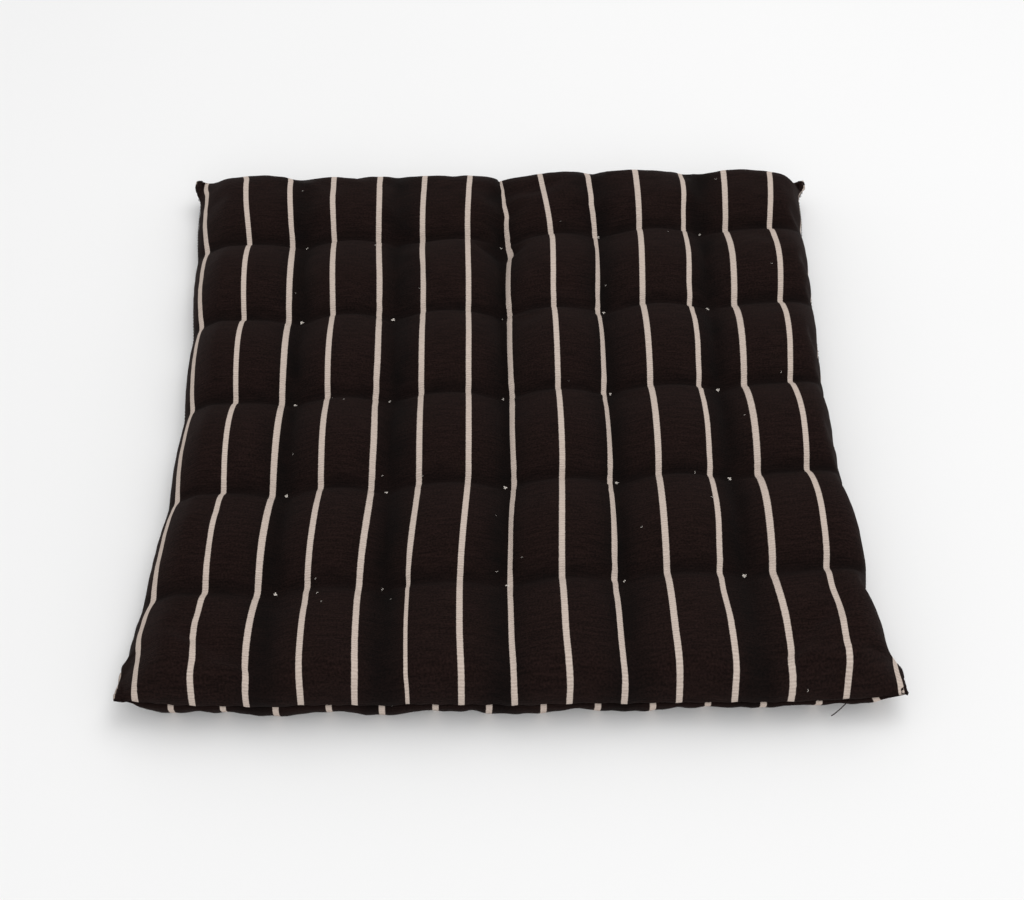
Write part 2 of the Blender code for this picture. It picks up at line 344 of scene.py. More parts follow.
top_cloth = cloth_material("top_cloth", FIRST_STRIPE - half_side)
under_cloth = cloth_material("bottom_cloth", FIRST_STRIPE - half_side + UNDER_SHIFT * STRIPE_PITCH)

# %% [markdown]
# ## Fibre and thread materials
# Wadding, felt, ties and sewing thread are all spun or matted fibre. One shader group gives them a tangled,
# fibrous height and a patchy tone, and each material picks its own colour and scale.

# %% Fibre group
def fibre_group():
    tree, given, result = start_group(
        "Matted fibre", "ShaderNodeTree",
        [("Place", "Vector", None), ("Scale", "Float", 800.0), ("Stretch", "Vector", (1.0, 1.0, 1.0))],
        [("Height", "Float"), ("Tone", "Float")])
    place = stretched(tree, given["Place"], given["Stretch"])
    strands = add(tree, "ShaderNodeTexNoise", {"Vector": place, "Scale": given["Scale"], "Detail": 6.0,
                                               "Distortion": 1.5})
    tree.links.new(strands.outputs["Fac"], result["Height"])
    tree.links.new(noise_field(tree, given["Place"], 60.0, 3.0), result["Tone"])
    return tree


fibre = fibre_group()


def fibre_material(name, dark, light, scale, stretch=(1.0, 1.0, 1.0), depth=0.3 * MM):
    material, tree, shader = plain_shader(name, 0.95, 0.15)
    place = add(tree, "ShaderNodeTexCoord").outputs["Object"]
    sockets = {"Place": place, "Scale": scale, "Stretch": stretch}
    made = add(tree, "ShaderNodeGroup", sockets, node_tree=fibre).outputs
    tone = maths(tree, "MULTIPLY_ADD", made["Height"], 0.6, maths(tree, "MULTIPLY", made["Tone"], 0.4))
    tree.links.new(mixed(tree, tone, dark, light), shader.inputs["Base Color"])
    roughen(tree, shader, made["Height"], 0.8, depth)
    return material


wadding_white = fibre_material(
    "wadding", (0.62, 0.60, 0.56, 1), (0.86, 0.85, 0.82, 1), 320.0, depth=0.8 * MM)
core_felt = fibre_material("core_felt", (0.22, 0.21, 0.20, 1), (0.48, 0.46, 0.43, 1), 900.0)
tie_thread = fibre_material(
    "tie_thread", (0.55, 0.50, 0.45, 1), (0.85, 0.80, 0.74, 1), 2600.0, (1.0, 1.0, 0.3), 0.1 * MM)
seam_thread = fibre_material(
    "seam_thread", (0.007, 0.004, 0.0035, 1), (0.02, 0.011, 0.009, 1), 3000.0, depth=0.05 * MM)

# %% Floor paint
FLOOR_TONES = (0.86, 0.86, 0.86, 1), (0.88, 0.88, 0.88, 1)
floor_paint, floor_tree, floor_shader = plain_shader("floor_paint", 0.8, 0.1)
floor_place = add(floor_tree, "ShaderNodeTexCoord").outputs["Object"]
floor_tone = mixed(floor_tree, noise_field(floor_tree, floor_place, 3.0), *FLOOR_TONES)
floor_tree.links.new(floor_tone, floor_shader.inputs["Base Color"])
floor.data.materials.append(floor_paint)

# %% [markdown]
# ## The shape of the stuffed bag
# Between the ties the cloth rises in puffs. A puff could be sculpted, but the whole pad follows one rule:
# it is low at a tie, a little higher along a line of ties, and highest in the middle of a puff. So the
# shape starts as two height fields over one grid, joined along the seam, with a grid line through every
# tie. The flat ears at the front corners start at a sharp step, so one more line is set just past the step
# of each.

# %% Grid
CELL = 4.8 * MM
LEAST_CELLS = 4


def grid_lines(tufts):
    """Places of the grid lines, evenly spaced between one tuft and the next."""
    stops = [-half_side, *tufts, half_side]
    lines = [np.linspace(a, b, max(LEAST_CELLS, round((b - a) / CELL)), endpoint=False)
             for a, b in zip(stops[:-1], stops[1:])]
    return np.append(np.concatenate(lines), half_side)


EAR_LINES = (-183.3 * MM, -169.8 * MM)
across_lines = grid_lines(tuft_columns)
along_lines = np.sort(np.append(grid_lines(tuft_rows), EAR_LINES))
across, along = np.meshgrid(across_lines, along_lines, indexing="ij")
tuft_across = [int(np.abs(across_lines - place).argmin()) for place in tuft_columns]
tuft_along = [int(np.abs(along_lines - place).argmin()) for place in tuft_rows]
print("grid", across.shape)

# %% [markdown]
# The rules that follow are the pad's character. Row creases are deep and sharp, and column valleys are
# shallow and fade towards the front and back. The pad has been stored folded in two, so a crease runs down
# its middle column and opens as a notch in the back edge. The front seam is lifted a little, which shows
# the bottom panel.

# %% Ridges and edges
PUFF_REACH = 32 * MM


def smooth(low, high, value):
    t = np.clip((value - low) / (high - low), 0, 1)
    return t * t * (3 - 2 * t)


def near(place, centre, width):
    """1 at a place, falling away to 0 on both sides of it."""
    return np.exp(-((place - centre) / width) ** 2)


def ridge(place, tufts):
    """0 on a line of tufts and 1 midway between two lines; past the last line it levels off."""
    rise = np.zeros_like(place)
    for low, high in zip(tufts[:-1], tufts[1:]):
        inside = (place >= low) & (place <= high)
        rise[inside] = np.sin(np.pi * (place[inside] - low) / (high - low))
    beyond = np.maximum(tufts[0] - place, place - tufts[-1])
    return np.where(beyond > 0, np.sin(np.pi / 2 * np.clip(beyond / PUFF_REACH, 0, 1)), rise)


def edge_round(place, width, inset=0.0):
    """0 at the seam, rising as a quarter round to 1 at the given distance from it."""
    s = np.clip((half_side - inset - np.abs(place)) / width, 0, 1)
    return np.sqrt(1 - (1 - s) ** 2)


# %% Heights
EDGE_ROUND = 22 * MM
UNDER_ROUND = 14 * MM
SEAM_HEIGHT = 11.5 * MM
FRONT_LIFT = 2.5 * MM
EAR_LIFT = 3.0 * MM
BACK_EAR_LIFT = 6.0 * MM
FRONT_EAR, FRONT_RIGHT_EAR, BACK_EAR = 31.6 * MM, 18 * MM, 11 * MM
EAR_STEP = 1.2 * MM
EAR_WIDTH = 6 * MM
TUFT_TOP = 21 * MM
ROW_RISE = 5 * MM
COLUMN_RISE = 2.5 * MM
PUFF_RISE = 8 * MM
FOLD_DEPTH = 5 * MM
FOLD_WIDTH = 6 * MM
TIP_REACH = 22 * MM
BACK_SLUMP = 7 * MM
LEFT_SLUMP = 3.5 * MM
SLUMP_REACH = 70 * MM
CORNER_SLUMP = 7 * MM
UNDER_DIP = 6 * MM
UNDER_SAG = 3 * MM

outer_row = float(np.abs(tuft_rows).max())
fold_across = float(tuft_columns[len(tuft_columns) // 2])
near_fold = np.exp(-np.abs(across - fold_across) / FOLD_WIDTH)
fold = near_fold * smooth(-90 * MM, 160 * MM, along)
end_band = smooth(outer_row - 10 * MM, outer_row + 25 * MM, np.abs(along))
column_valley = (1 - ridge(across, tuft_columns)) * (1 - np.where(along > 0, 0.75, 0.35) * end_band)
over_columns = 1 - column_valley
over_rows = ridge(along, tuft_rows)
ear_length = np.where(along > 0, BACK_EAR, np.where(across > 0, FRONT_RIGHT_EAR, FRONT_EAR))
ear = smooth(half_side - ear_length - EAR_STEP, half_side - ear_length + EAR_STEP, np.abs(along))
side_round = edge_round(across, EDGE_ROUND, EAR_WIDTH * ear)
top_round = side_round * edge_round(along, EDGE_ROUND)
under_round = side_round * edge_round(along, UNDER_ROUND)
tip = (smooth(half_side - TIP_REACH, half_side, np.abs(across))
       * smooth(half_side - TIP_REACH, half_side, np.abs(along)))
seam_height = SEAM_HEIGHT + np.where(along > 0, BACK_EAR_LIFT, EAR_LIFT) * tip
seam_height = seam_height + FRONT_LIFT * smooth(-0.8 * half_side, -half_side, along)
right_of_fold = (across - fold_across) / SLUMP_REACH
back_slump = np.where(right_of_fold > 0, BACK_SLUMP * np.clip(1 - right_of_fold, 0, 1) ** 1.5, LEFT_SLUMP)
back_corner = smooth(0.75 * half_side, half_side, np.abs(across)) * smooth(0.6 * half_side, half_side, along)
fuller = -back_slump * smooth(0.3 * half_side, 0.9 * half_side, along) - CORNER_SLUMP * back_corner
top = (TUFT_TOP + ROW_RISE * over_columns + COLUMN_RISE * over_rows
       + PUFF_RISE * (over_columns * over_rows) ** 0.6 + fuller - FOLD_DEPTH * fold)
under = UNDER_DIP * (1 - np.maximum(over_columns, over_rows)) - UNDER_SAG * over_columns * over_rows
top_height = seam_height + (top - seam_height) * top_round
under_height = seam_height + (under - seam_height) * under_round

# %% [markdown]
# Seen from above, a stuffed pad is never the square it was cut as. The filling draws the sides in between
# the corners, a little more at each row, while the empty corners stay behind as flat ears. At the front the
# pull lets go slowly inside the pad and at a step by the ears. At the back the fold swallows some width, so
# the stripes there crowd towards it.

# %% Plan
END_PULL = 4 * MM
MIDDLE_PULL = 8 * MM
ROW_PULL = 1.5 * MM
RIGHT_DENT = 2.7 * MM
RIGHT_FULL = 2.0 * MM
FRONT_REACH = 3.5 * MM
BACK_GATHER = 4.5 * MM
outer_column = float(np.abs(tuft_columns).max())
bow = np.clip(1 - (along / (0.9 * half_side)) ** 2, 0, 1) ** 1.5
left_front = smooth(0, -0.5 * half_side, across) * smooth(-60 * MM, -150 * MM, along)
end_pull = END_PULL * (1 - 0.6 * left_front)
right_dent = RIGHT_DENT * near(along, tuft_rows[0] - 12 * MM, 15 * MM) * (across > 0)
right_full = RIGHT_FULL * near(along, 70 * MM, 45 * MM) * (across > 0)
at_ear = smooth(0.85 * half_side, 0.95 * half_side, np.abs(across))
front_release = at_ear * ear + (1 - at_ear) * smooth(-145 * MM, -188 * MM, along)
release = np.where(along < 0, front_release, ear)
pull = (end_pull + right_dent - right_full + MIDDLE_PULL * bow + ROW_PULL * (1 - over_rows)) * (1 - release)
beyond = np.clip((np.abs(across) - 0.5 * outer_column) / (half_side - 0.5 * outer_column), 0, 1)
gather = smooth(outer_row, half_side, along) * smooth(half_side, half_side - 25 * MM, np.abs(across))
from_fold = np.abs(across - fold_across) / half_side
plan_across = across - np.sign(across) * pull * beyond ** 2
plan_across = plan_across + BACK_GATHER * gather * np.sign(across - fold_across) * (from_fold * 1.9 - 0.9)
front_reach = FRONT_REACH * smooth(-outer_row, -half_side, along) * (1 - (across / half_side) ** 8)
plan_along = along + row_slope * across * skew_fade(along) - front_reach
design_top = np.stack([plan_across, plan_along, top_height], -1)
design_under = np.stack([plan_across, plan_along, under_height], -1)

# %% [markdown]
# ## Settling the cloth
# The height fields look too regular, like foam. Real cloth has more material than the shape needs, so it
# buckles into small folds. A short Cloth simulation gives that: the bag is made a few per cent too big, the
# ties and the seam pull it back to its measured places, and the wadding is an inner pressure.

# %% Bag mesh
def quads(index):
    return np.stack([index[:-1, :-1], index[1:, :-1], index[1:, 1:], index[:-1, 1:]], -1).reshape(-1, 4)


top_index = np.arange(across.size).reshape(across.shape)
inner = np.zeros(across.shape, bool)
inner[1:-1, 1:-1] = True
under_index = top_index.copy()
under_index[inner] = across.size + np.arange(inner.sum())
bag_points = np.concatenate([design_top.reshape(-1, 3), design_under[inner]])
bag_faces = np.concatenate([quads(top_index), quads(under_index)[:, ::-1]])

# %% Cloth simulation
EXTRA_CLOTH = (1.035, 1.045, 1.05)
PULL_FRAMES = 6
SETTLE_FRAMES = 16
MOST_MOVE = 14 * MM
SEAM_HOLD = 1.0
FOLD_HOLD = 0.5
LINE_HOLD = 0.1
COLUMN_HOLD = 0.3


def pin_weights():
    """How firmly each point is held: fully at ties and on the seam, partly along lines of ties."""
    weights = np.zeros(len(bag_points))
    fold_line = tuft_across[len(tuft_across) // 2]
    weights[top_index[:, tuft_along]] = LINE_HOLD
    weights[top_index[tuft_across]] = COLUMN_HOLD
    weights[top_index[fold_line]] = COLUMN_HOLD + FOLD_HOLD * smooth(0, half_side, along_lines)
    weights[top_index[~inner]] = SEAM_HOLD
    for i in tuft_across:
        for j in tuft_along:
            weights[[top_index[i, j], under_index[i, j]]] = 1.0
    return weights


def settle():
    """The bag's points after a short cloth simulation."""
    centre = np.array([0, 0, SEAM_HEIGHT])
    loose = (bag_points - centre) * np.array(EXTRA_CLOTH) + centre
    bag = mesh_object("bag", loose, bag_faces)
    bag.shape_key_add(name="Basis")
    pulled = bag.shape_key_add(name="pulled")
    pulled.data.foreach_set("co", bag_points.astype(np.float32).ravel())
    for frame_number, value in ((1, 0.0), (PULL_FRAMES, 1.0)):
        pulled.value = value
        pulled.keyframe_insert("value", frame=frame_number)
    weights = pin_weights()
    held = bag.vertex_groups.new(name="held")
    for weight in np.unique(weights[weights > 0]):
        held.add(np.flatnonzero(weights == weight).tolist(), float(weight), "REPLACE")
    cloth = bag.modifiers.new("Cloth", "CLOTH")
    rules = cloth.settings
    rules.quality = 5
    rules.mass = 0.001
    rules.vertex_group_mass = "held"
    rules.tension_stiffness = rules.compression_stiffness = 15.0
    rules.shear_stiffness = 5.0
    rules.bending_stiffness = 0.05
    rules.use_pressure = True
    rules.uniform_pressure_force = 6.0
    rules.effector_weights.gravity = 0.0
    cloth.collision_settings.use_collision = False
    cloth.point_cache.frame_start = 1
    cloth.point_cache.frame_end = SETTLE_FRAMES
    for frame_number in range(1, SETTLE_FRAMES + 1):
        scene.frame_set(frame_number)
    seen = bag.evaluated_get(bpy.context.evaluated_depsgraph_get()).to_mesh()
    settled = np.empty(len(seen.vertices) * 3, np.float32)
    seen.vertices.foreach_get("co", settled)
    action = bag.data.shape_keys.animation_data.action
    bpy.data.objects.remove(bag)
    bpy.data.actions.remove(action)
    scene.frame_set(1)
    return settled.reshape(-1, 3).astype(float)


def capped(moved, start, most):
    """The moved points, none further than most from where it started."""
    step = moved - start
    length = np.linalg.norm(step, axis=1, keepdims=True)
    return start + step * np.minimum(1, most / np.maximum(length, 1e-9))


settled = capped(settle(), bag_points, MOST_MOVE)
print("cloth moved at most", round(float(np.abs(settled - bag_points).max()) / MM, 1), "mm")

# %% [markdown]
# The underside lies on the floor, so what the pressure pushed below it is pressed flat. An exponential does
# this without a hard line: it leaves points above a few millimetres alone and lets deeper ones approach the
# floor. Two edges are then laid out: the steep strip along the left side, so that its stripe shows from
# above, and the empty front right ear, whose cloth runs nearly straight to the seam.

# %% Rest on the floor
PRESSED = 4 * MM
SEAM_SPREAD = 1.2 * MM
EAR_SPREAD = 1.5 * MM
STEEP_STRIP = 24 * MM
LAID_DOWN = 0.5
LAID_REACH = 0.6 * MM
EAR_LAID = 0.6
height = settled[:, 2]
settled[:, 2] = np.where(height < PRESSED, PRESSED * np.exp((height - PRESSED) / PRESSED), height)
at_edge = np.abs(np.stack([across, along], -1)) >= half_side - 1e-6
spread = np.stack([SEAM_SPREAD + EAR_SPREAD * ear * (along < 0), np.full(across.shape, SEAM_SPREAD)], -1)
settled[top_index, :2] += spread * at_edge * np.sign(np.stack([across, along], -1))
strip = int((across_lines > half_side - STEEP_STRIP).sum())

# %% Left strip and right ear
side = settled[top_index[:strip + 1]]
seam_share = (across_lines[strip] - across_lines[:strip + 1, None]) / (across_lines[strip] - across_lines[0])
outermost = side[..., 0].min(axis=0) - LAID_REACH * (1 - ear[0])
laid_height = side[strip, :, 2] + seam_share * (side[0, :, 2] - side[strip, :, 2])
side[..., 0] = side[strip, :, 0] + seam_share * (outermost - side[strip, :, 0])
side[..., 2] += LAID_DOWN * (laid_height - side[..., 2])
settled[top_index[:strip + 1]] = side
right = settled[top_index[-strip - 1:]]
right_lines = across_lines[-strip - 1:, None]
right_share = (right_lines - right_lines[0]) / (half_side - right_lines[0])
for axis in (0, 2):
    straight = right[0, :, axis] + right_share * (right[-1, :, axis] - right[0, :, axis])
    right[..., axis] += EAR_LAID * ear[-1] ** 4 * (along_lines < 0) * (straight - right[..., axis])
settled[top_index[-strip - 1:]] = right
settled_top = settled[top_index]
settled_under = settled[under_index]
print("heights", (settled[:, 2].min() / MM).round(1), (settled[:, 2].max() / MM).round(1))

# %% [markdown]
# ## The two panels
# Each panel is its own piece of cloth. Its edge turns in at the seam as a narrow allowance, so the two
# panels meet as two rounded folds with a fine groove between them. The panel gets its flat cut as a UV map,
# one level of subdivision, and its own small wrinkles before a Solidify modifier gives it the thickness of
# the cotton.
#
# The panels were tied by hand, so the grain isn't square to the ties. The drift below is a sum of small
# pulls: the cloth creeps sideways along the front, crowds between the outer columns, hangs back along the
# right side, and has one small pleat in the front row of puffs.

# %% Flat cut
FRONT_CREEP = 4.3 * MM
CROWDING = 2.6 * MM
CROWDING_WAVE = 0.75 * 2 * half_side
SIDE_DRIFT = 4.0 * MM
BACK_DRIFT = 2.2 * MM
FOLD_DRIFT = 4.5 * MM
VALLEY_DRIFT = 1.7 * MM
DENT_DRIFT = 2.4 * MM
PLEAT = 0.9
PLEAT_PLACE = -54 * MM
EAR_DRIFT = 1.4 * MM
UNDER_CREEP = 5.4 * MM


def along_cloth(points, flat, lines, axis):
    """Flat places in which the steep strip at each side is spread by its length along the cloth."""
    points, flat = np.moveaxis(points, axis, 0), np.moveaxis(flat, axis, 0).copy()
    steps = np.linalg.norm(np.diff(points, axis=0), axis=-1)
    run = np.concatenate([np.zeros((1, steps.shape[1])), np.cumsum(steps, 0)])
    width = int((lines > half_side - STEEP_STRIP).sum())
    for seam, start in ((0, width), (len(run) - 1, len(run) - 1 - width)):
        part = slice(0, start + 1) if seam == 0 else slice(start, None)
        share = (run[part] - run[start]) / (run[seam] - run[start])
        flat[part] = flat[start] + share * (flat[seam] - flat[start])
    return np.moveaxis(flat, 0, axis)


def grain_drift():
    """How far the grain of the top panel lies off its place."""
    at_front = smooth(-50 * MM, -140 * MM, along) * (1 - 0.3 * smooth(-165 * MM, -half_side, along))
    at_back = smooth(120 * MM, 180 * MM, along)
    at_right = smooth(110 * MM, 180 * MM, across)
    creep = FRONT_CREEP * at_front * near(across, 20 * MM, 110 * MM)
    wave = np.where(np.abs(across) < CROWDING_WAVE / 2, np.sin(2 * np.pi * across / CROWDING_WAVE), 0)
    crowded = CROWDING * wave * smooth(150 * MM, 60 * MM, along) * smooth(-150 * MM, -70 * MM, along)
    side = SIDE_DRIFT * at_right * (0.35 + 0.65 * smooth(-170 * MM, -80 * MM, along))
    dent = DENT_DRIFT * at_right * near(along, tuft_rows[0] - 6 * MM, 20 * MM)
    valley = VALLEY_DRIFT * near(across, 108 * MM, 16 * MM) * smooth(-150 * MM, -90 * MM, along)
    folded = (across - PLEAT_PLACE) * near(across, PLEAT_PLACE, 7 * MM)
    pleat = PLEAT * folded * smooth(-110 * MM, -140 * MM, along)
    back = BACK_DRIFT * smooth(-50 * MM, -120 * MM, across) * at_back
    by_fold = FOLD_DRIFT * near(across, 35 * MM, 30 * MM) * at_back
    by_ear = EAR_DRIFT * ear * smooth(0.85 * half_side, 0.93 * half_side, across) * (along < 0)
    return creep + crowded - side - dent - valley + pleat + back + by_fold + by_ear


def flat_cut(points, drift):
    cut_across = along_cloth(points, across, across_lines, 0) + drift
    return np.stack([cut_across, along_cloth(points, along, along_lines, 1)], -1)


# %% Panel helpers
TURN_IN = 5 * MM
CLOTH_THICKNESS = 0.8 * MM


def with_allowance(points, lift):
    """The panel's grid with one more ring, turned in under its edge."""
    wide = np.pad(points, ((1, 1), (1, 1), (0, 0)), mode="edge")
    for axis, first, last in ((0, (0,), (-1,)), (1, (slice(None), 0), (slice(None), -1))):
        wide[first + (Ellipsis, axis)] += TURN_IN
        wide[last + (Ellipsis, axis)] -= TURN_IN
    ring = np.ones(wide.shape[:2], bool)
    ring[1:-1, 1:-1] = False
    wide[ring, 2] += lift
    return wide


def baked(source):
    """A plain mesh object of what the modifiers make."""
    seen = source.evaluated_get(bpy.context.evaluated_depsgraph_get())
    name = source.name
    mesh = bpy.data.meshes.new_from_object(seen)
    bpy.data.objects.remove(source)
    mesh.name = name
    return link_object(name, mesh)


def cloth_grid(name, points, cut, turned):
    index = np.arange(points.shape[0] * points.shape[1]).reshape(points.shape[:2])
    faces = quads(index)[:, ::-1] if turned else quads(index)
    piece = mesh_object(name, points.reshape(-1, 3), faces)
    cut = np.pad(cut, ((1, 1), (1, 1), (0, 0)), mode="reflect", reflect_type="odd").reshape(-1, 2)
    corners = np.empty(len(piece.data.loops), np.int32)
    piece.data.loops.foreach_get("vertex_index", corners)
    uv = piece.data.uv_layers.new(name="cut")
    uv.data.foreach_set("uv", cut[corners].astype(np.float32).ravel())
    finer = piece.modifiers.new("Subdivision", "SUBSURF")
    finer.levels = finer.render_levels = 1
    return baked(piece)


# %% [markdown]
# Three kinds of small wrinkle are left that the simulation's grid is too coarse for: short folds that fan
# out from each tie, puckers where the machine seam has drawn up the cloth, and the faint unevenness of the
# stuffing.

# %% Wrinkles
random = np.random.default_rng(11)
fan_phase = random.uniform(0, 2 * np.pi, ties.shape[:2])
fan_folds = random.integers(5, 9, ties.shape[:2])
FAN_DEPTH = 0.45 * MM
FAN_PLACE = 9 * MM
FAN_WIDTH = 5 * MM
PUCKER_DEPTH = 0.22 * MM
PUCKER_LENGTH = 13 * MM
PUCKER_REACH = 9 * MM
LUMP_DEPTH = 0.7 * MM
LUMPS_PER_METRE = 30


def wrinkle(piece):
    mesh = piece.data
    count = len(mesh.vertices)
    points, normals = np.empty(count * 3, np.float32), np.empty(count * 3, np.float32)
    mesh.vertices.foreach_get("co", points)
    mesh.vertices.foreach_get("normal", normals)
    points, normals = points.reshape(-1, 3).astype(float), normals.reshape(-1, 3)
    move = np.zeros(count)
    for row in range(ties.shape[0]):
        for column in range(ties.shape[1]):
            off = points[:, :2] - ties[row, column, :2]
            far = np.linalg.norm(off, axis=1)
            turn = np.arctan2(off[:, 1], off[:, 0])
            fan = np.cos(fan_folds[row, column] * turn + fan_phase[row, column])
            move += FAN_DEPTH * fan * near(far, FAN_PLACE, FAN_WIDTH)
    to_side = half_side - np.abs(points[:, 0])
    to_end = half_side - np.abs(points[:, 1])
    run = np.where(to_side < to_end, points[:, 1], points[:, 0])
    uneven = np.array([noise.noise(Vector(point)) for point in points * LUMPS_PER_METRE])
    pucker = np.sin(2 * np.pi * run / PUCKER_LENGTH + 5 * uneven)
    move += PUCKER_DEPTH * pucker * np.exp(-np.minimum(to_side, to_end) / PUCKER_REACH)
    move += LUMP_DEPTH * uneven
    moved = points + move[:, None] * normals
    moved[:, 2] = np.maximum(moved[:, 2], 0.2 * MM)
    mesh.vertices.foreach_set("co", moved.astype(np.float32).ravel())
    mesh.update()


# %% Top and bottom panels
def make_panel(name, points, drift, lift, turned, material):
    piece = cloth_grid(name, with_allowance(points, lift), flat_cut(points, drift), turned)
    wrinkle(piece)
    piece.data.shade_smooth()
    piece.data.materials.append(material)
    wall = piece.modifiers.new("Cloth thickness", "SOLIDIFY")
    wall.thickness = CLOTH_THICKNESS
    wall.offset = -1.0
    return piece


top_panel = make_panel("top_panel", settled_top, grain_drift(), 0.3 * MM, False, top_cloth)
under_drift = UNDER_CREEP * (1 - (across / half_side) ** 2)
bottom_panel = make_panel("bottom_panel", settled_under, under_drift, -0.3 * MM, True, under_cloth)
panels = ((top_panel, "top_cover", "top_cloth"), (bottom_panel, "bottom_cover", "bottom_cloth"))
for panel, node, slot in panels:
    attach(panel, "root")
    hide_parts(node)
    print(panel.name, "faces", len(panel.data.polygons))

# %% [markdown]
# ## The filling
# Inside lie two layers of cotton wadding with a firmer felt sheet between them. They never show on the
# finished pad, but they are what fills the puffs, so they are built from the settled cloth: each layer is a
# slab between two height fields, a little under the cloth outside and against the felt inside.

# %% Filling
FILL_GAP = 2.2 * MM
FELT_HALF = 1.4 * MM
SKIP_LINES = 4


def around(grid):
    """The border of a grid, once round from the front left corner."""
    return np.concatenate([grid[:, 0], grid[-1, 1:], grid[-2::-1, -1], grid[0, -2:0:-1]])


def slab(name, upper, lower):
    """A closed solid between two grids of points."""
    index = np.arange(upper.shape[0] * upper.shape[1]).reshape(upper.shape[:2])
    beneath = index + index.size
    rim = around(index)
    after = np.roll(rim, -1)
    sides = np.stack([rim + index.size, after + index.size, after, rim], -1)
    faces = np.concatenate([quads(index), quads(beneath)[:, ::-1], sides])
    piece = mesh_object(name, np.concatenate([upper.reshape(-1, 3), lower.reshape(-1, 3)]), faces)
    piece.data.shade_smooth()
    return piece


fill = slice(SKIP_LINES, -SKIP_LINES)
over, below = settled_top[fill, fill], settled_under[fill, fill]
across_bag = (over - below) / np.linalg.norm(over - below, axis=-1, keepdims=True)
room = np.linalg.norm(over - below, axis=-1, keepdims=True) / 2
middle = (over + below) / 2
gap = np.minimum(FILL_GAP, 0.4 * room)
felt_half = np.minimum(FELT_HALF, 0.2 * room)


def apart(distance):
    """The middle surface, moved towards the top cloth, or towards the bottom one if negative."""
    return middle + distance * across_bag


seam_gap = 0.2 * MM
layers = {
    "wadding_upper": (apart(room - gap), apart(felt_half + seam_gap), wadding_white, "wadding"),
    "wadding_lower": (apart(-felt_half - seam_gap), apart(gap - room), wadding_white, "wadding"),
    "wadding_core": (apart(felt_half), apart(-felt_half), core_felt, "core_felt"),
}
for node, (upper, lower, material, slot) in layers.items():
    piece = slab(node + "_fill", upper, lower)
    piece.data.materials.append(material)
    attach(piece, "root")
    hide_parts(node)

# %% [markdown]
# ## Repeated pieces with Geometry Nodes
# Knots, stitches and lint are one small shape placed many times, which is what Geometry Nodes are for. Each
# tree takes a carrier mesh and one small object, places copies with a fixed seed, realises them and sets
# the material. The result is read back as a plain mesh, so no modifier is left on the piece.

# %% Geometry Nodes helpers
ANY_TURN = 6.28


def geometry_group(name, inputs):
    common = [("Geometry", "Geometry", None), ("Shape", "Object", None), ("Material", "Material", None)]
    tree, given, result = start_group(name, "GeometryNodeTree", common + inputs, [("Geometry", "Geometry")])
    shape = add(tree, "GeometryNodeObjectInfo", {"Object": given["Shape"]}).outputs["Geometry"]
    return tree, given, result, shape


def random_turn(tree, given, most):
    """A random turn for each copy, from none up to the given angles."""
    return add(tree, "FunctionNodeRandomValue", {0: (0.0, 0.0, 0.0), 1: most, "Seed": given["Seed"]},
               data_type="FLOAT_VECTOR").outputs[0]


def turned(tree, rotation, by):
    sockets = {"Rotation": rotation, "Rotate By": by}
    return add(tree, "FunctionNodeRotateEuler", sockets, space="LOCAL").outputs["Rotation"]


def copies(tree, given, shape, points, rotation):
    """The small shape at every point, each copy at a random scale."""
    scale = add(tree, "FunctionNodeRandomValue", {2: given["Smallest"], 3: 1.0, "Seed": given["Seed"]},
                data_type="FLOAT").outputs[1]
    sockets = {"Points": points, "Instance": shape, "Rotation": rotation, "Scale": scale}
    return add(tree, "GeometryNodeInstanceOnPoints", sockets).outputs["Instances"]


def finish_group(tree, given, result, geometry):
    real = add(tree, "GeometryNodeRealizeInstances", {"Geometry": geometry}).outputs["Geometry"]
    coated = add(tree, "GeometryNodeSetMaterial", {"Geometry": real, "Material": given["Material"]})
    tree.links.new(coated.outputs["Geometry"], result["Geometry"])
    return tree


def grown(name, tree, carrier, **values):
    """Runs a tree on a carrier mesh and returns the plain mesh object that it makes."""
    source = link_object(name, carrier)
    grow = source.modifiers.new(tree.name, "NODES")
    grow.node_group = tree
    for item in tree.interface.items_tree:
        label = item.name.lower().replace(" ", "_")
        if item.in_out == "INPUT" and label in values:
            grow[item.identifier] = values[label]
    made = baked(source)
    made.data.shade_smooth()
    return made


def tube_points(path, radius, sides, closed=False):
    """Rings of points round a path, for a thread."""
    path = np.asarray(path, float)
    if closed:
        tangent = np.roll(path, -1, 0) - np.roll(path, 1, 0)
    else:
        tangent = np.gradient(path, axis=0)
    tangent /= np.linalg.norm(tangent, axis=1, keepdims=True)
    side = np.cross(tangent, (0.13, 0.21, 1.0))
    side /= np.linalg.norm(side, axis=1, keepdims=True)
    up = np.cross(side, tangent)
    angle = np.arange(sides) / sides * 2 * np.pi
    ring = np.cos(angle)[:, None, None] * side + np.sin(angle)[:, None, None] * up
    return (path + radius * ring).transpose(1, 0, 2)


def tube(name, path, radius, sides=6, closed=False):
    """A thread along a path, as a hidden helper mesh with closed ends."""
    rings = tube_points(path, radius, sides, closed)
    count = len(rings)
    index = np.arange(count * sides).reshape(count, sides)
    index = np.concatenate([index, index[:, :1]], 1)
    if closed:
        index = np.concatenate([index, index[:1]])
    faces = quads(index).tolist()
    if not closed:
        faces += [list(range(sides)), list(range(count * sides - 1, (count - 1) * sides - 1, -1))]
    return plain_mesh(name, rings.reshape(-1, 3), faces=faces)


# %% [markdown]
# ## Ties
# Each tie is a thread through both panels, pulled tight and knotted on either side. The knot that shows is
# an overhand knot. A closed trefoil curve has the same three crossings, and it is a short formula, so a
# thin tube along it makes the knot, with two cut tails beside it.

